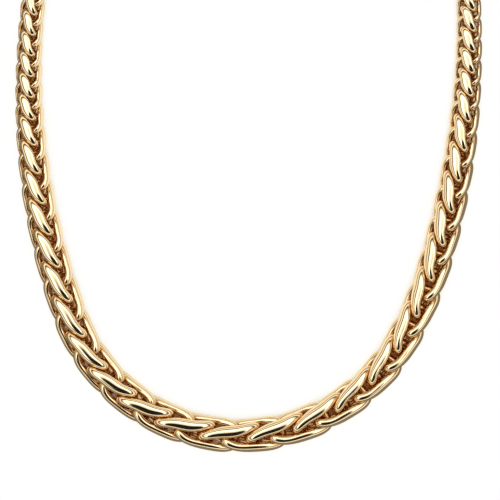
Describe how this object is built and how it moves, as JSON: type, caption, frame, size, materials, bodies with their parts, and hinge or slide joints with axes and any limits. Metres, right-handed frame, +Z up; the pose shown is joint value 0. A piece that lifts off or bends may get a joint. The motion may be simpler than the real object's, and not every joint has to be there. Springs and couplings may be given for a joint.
{
  "type": "graduated wheat chain necklace",
  "caption": "Graduated wheat chain necklace in polished yellow gold, its twisted oval links laid flat as a closed oval loop with a plain box clasp.",
  "frame": {"origin": "on the table, below the middle of the box round the laid loop", "axes": "+Z up from the table; +Y from the large links in front to the clasp at the back of the neck; +X to the wearer's left, as seen from in front"},
  "size_m": [0.1118, 0.1738, 0.0084],
  "materials": {
    "gold_links": "mirror-polished yellow gold with faint handling scratches",
    "gold_clasp": "polished yellow gold"
  },
  "bodies": {
    "root": {"chain_left": "gold_links", "chain_right": "gold_links", "clasp": "gold_clasp"}
  },
  "joints": []
}
